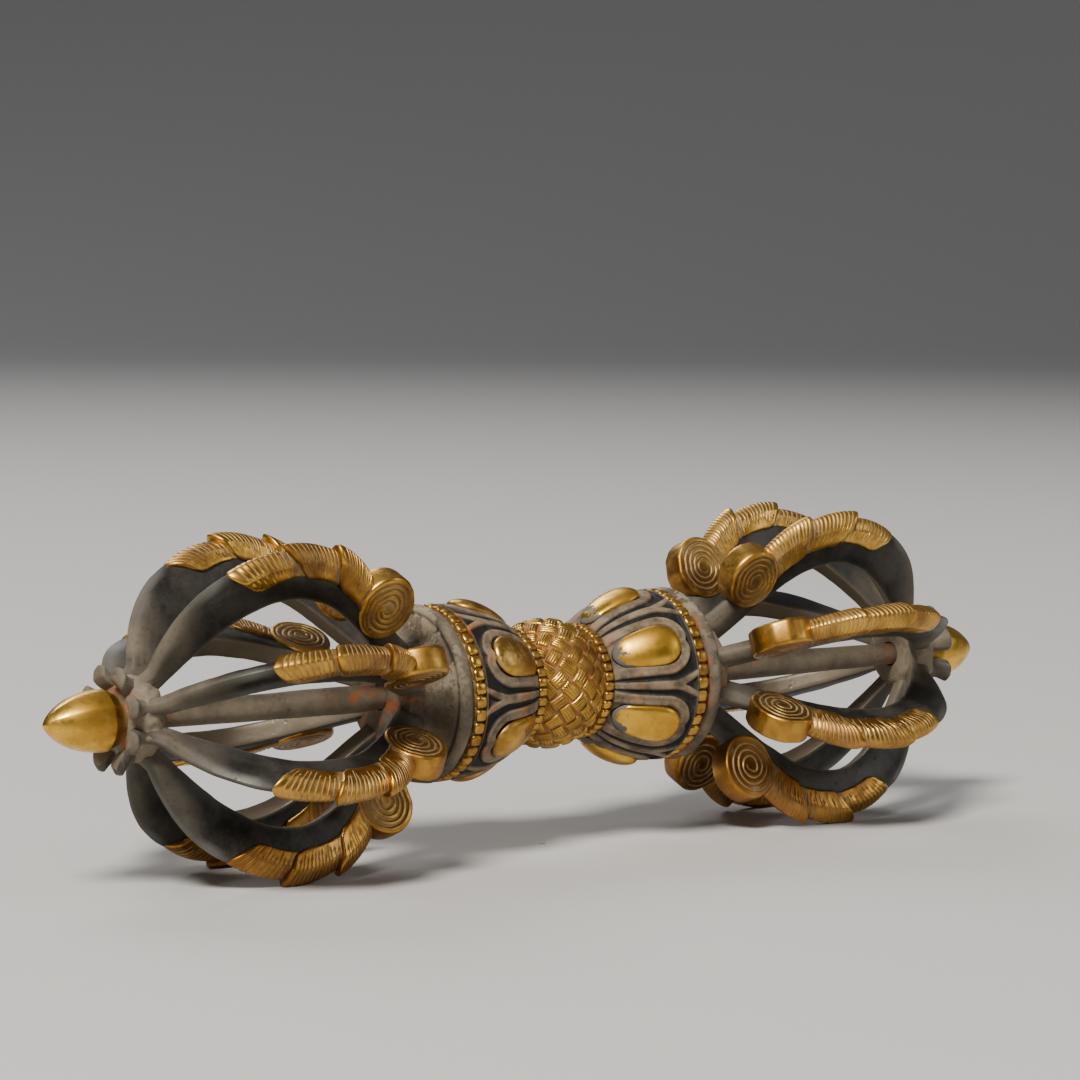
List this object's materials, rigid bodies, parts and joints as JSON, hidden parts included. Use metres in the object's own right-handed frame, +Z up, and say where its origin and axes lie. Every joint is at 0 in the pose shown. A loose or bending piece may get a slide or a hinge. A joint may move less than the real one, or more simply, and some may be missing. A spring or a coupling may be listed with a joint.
{
  "type": "dorje vajra",
  "caption": "Ritual dorje vajra with bowed feather-crested prongs round a rod at each end of a lotus hub, held by its woven ball.",
  "frame": {"origin": "middle of the centre ball, on the core rod's axis", "axes": "+X along the core rod towards the right tip, +Z up as the vajra lies on its lower crests"},
  "size_m": [0.3, 0.0858, 0.0853],
  "materials": {
    "gilt": "worn gilding over brass, brown where it has rubbed",
    "patina": "dark grey-black patina with pale dust",
    "bronze": "matt brown-grey brass, brazed and dusty"
  },
  "bodies": {
    "root": {"core_rod": "bronze", "centre_ball": "gilt", "left_ball_ring": "gilt", "right_ball_ring": "gilt", "left_lotus": "patina", "right_lotus": "patina", "left_petal_bosses": "gilt", "right_petal_bosses": "gilt", "left_mouth_ring": "gilt", "right_mouth_ring": "gilt", "left_root_plate": "bronze", "right_root_plate": "bronze", "left_collar": "bronze", "right_collar": "bronze", "left_tip": "gilt", "right_tip": "gilt", "left_bar_1": "patina", "left_bar_2": "patina", "left_bar_3": "patina", "left_bar_4": "patina", "left_bar_5": "patina", "left_bar_6": "patina", "left_bar_7": "patina", "left_bar_8": "patina", "right_bar_1": "patina", "right_bar_2": "patina", "right_bar_3": "patina", "right_bar_4": "patina", "right_bar_5": "patina", "right_bar_6": "patina", "right_bar_7": "patina", "right_bar_8": "patina", "left_crest_1": "gilt", "left_crest_2": "gilt", "left_crest_3": "gilt", "left_crest_4": "gilt", "left_crest_5": "gilt", "left_crest_6": "gilt", "left_crest_7": "gilt", "left_crest_8": "gilt", "right_crest_1": "gilt", "right_crest_2": "gilt", "right_crest_3": "gilt", "right_crest_4": "gilt", "right_crest_5": "gilt", "right_crest_6": "gilt", "right_crest_7": "gilt", "right_crest_8": "gilt"}
  },
  "joints": []
}
